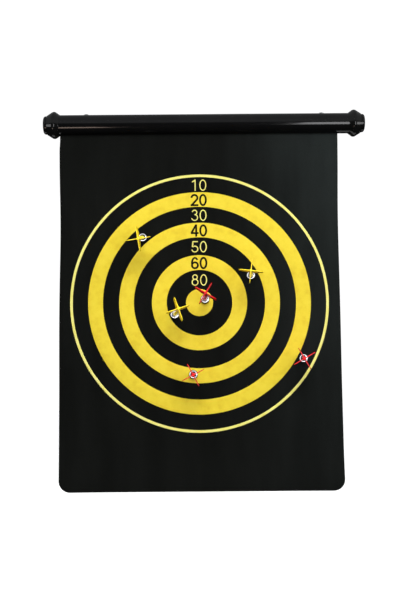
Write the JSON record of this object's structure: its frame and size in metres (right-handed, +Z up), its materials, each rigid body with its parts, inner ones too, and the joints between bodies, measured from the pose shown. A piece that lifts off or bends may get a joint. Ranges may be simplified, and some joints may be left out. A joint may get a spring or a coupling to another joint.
{
  "type": "magnetic dartboard",
  "caption": "Roll-up magnetic dartboard: a black flocked mat with a yellow ring dial hangs from a slotted tube with end caps, and holds small finned magnetic darts.",
  "frame": {"origin": "midway between the two hanging eyes, on the rear face of their plates", "axes": "+Z up, the dial faces -Y, +X to the right as seen from the front"},
  "size_m": [0.37, 0.0605, 0.4342],
  "materials": {
    "tube_plastic": "glossy black extruded tube with faint draw lines",
    "cap_plastic": "glossy black moulded plastic",
    "eye_steel": "zinc-plated pressed steel",
    "rivet_alloy": "satin aluminium rivet",
    "rod_plastic": "matt extruded rod",
    "mat_rubber": "flexible magnetic rubber sheet",
    "mat_flock": "matt black short flock",
    "dial_yellow": "matt yellow flock print",
    "dart_yellow": "glossy yellow moulded plastic",
    "dart_red": "glossy red moulded plastic",
    "cup_chrome": "bright chrome-plated steel cup",
    "magnet_nickel": "nickel-plated magnet"
  },
  "bodies": {
    "header": {"header_tube": "tube_plastic", "left_end_cap": "cap_plastic", "right_end_cap": "cap_plastic", "left_hanging_eye": "eye_steel", "right_hanging_eye": "eye_steel", "left_eye_rivet": "rivet_alloy", "right_eye_rivet": "rivet_alloy"},
    "rod": {"hem_rod": "rod_plastic"},
    "mat": {"mat_core": "mat_rubber", "front_flock": "mat_flock", "back_flock": "mat_flock", "dial_print": "dial_yellow"},
    "dart_1": {"dart_1_flight": "dart_yellow", "dart_1_cup": "cup_chrome", "dart_1_magnet": "magnet_nickel"},
    "dart_2": {"dart_2_flight": "dart_yellow", "dart_2_cup": "cup_chrome", "dart_2_magnet": "magnet_nickel"},
    "dart_3": {"dart_3_flight": "dart_yellow", "dart_3_cup": "cup_chrome", "dart_3_magnet": "magnet_nickel"},
    "dart_4": {"dart_4_flight": "dart_red", "dart_4_cup": "cup_chrome", "dart_4_magnet": "magnet_nickel"},
    "dart_5": {"dart_5_flight": "dart_red", "dart_5_cup": "cup_chrome", "dart_5_magnet": "magnet_nickel"},
    "dart_6": {"dart_6_flight": "dart_red", "dart_6_cup": "cup_chrome", "dart_6_magnet": "magnet_nickel"}
  },
  "joints": [
    {"name": "mat_shift", "type": "slide", "parent": "header", "child": "rod", "axis": [1, 0, 0], "range_m": [0, 0.0121]},
    {"name": "mat_swing", "type": "hinge", "parent": "rod", "child": "mat", "pos_m": [-0.00605, -0.0128, -0.01697], "axis": [1, 0, 0], "range_deg": [-5, 5]},
    {"name": "dart_1_pull", "type": "slide", "parent": "mat", "child": "dart_1", "axis": [-0.0785, -0.9838, -0.1611], "range_m": [0, 0.06]},
    {"name": "dart_2_pull", "type": "slide", "parent": "mat", "child": "dart_2", "axis": [-0.0523, -0.9973, 0.0523], "range_m": [0, 0.06]},
    {"name": "dart_3_pull", "type": "slide", "parent": "mat", "child": "dart_3", "axis": [0.1392, -0.9809, 0.1361], "range_m": [0, 0.06]},
    {"name": "dart_4_pull", "type": "slide", "parent": "mat", "child": "dart_4", "axis": [0.014, -0.9924, 0.1219], "range_m": [0, 0.06]},
    {"name": "dart_5_pull", "type": "slide", "parent": "mat", "child": "dart_5", "axis": [0, -1, 0.0087], "range_m": [0, 0.06]},
    {"name": "dart_6_pull", "type": "slide", "parent": "mat", "child": "dart_6", "axis": [-0.0872, -0.9962, 0], "range_m": [0, 0.06]}
  ]
}
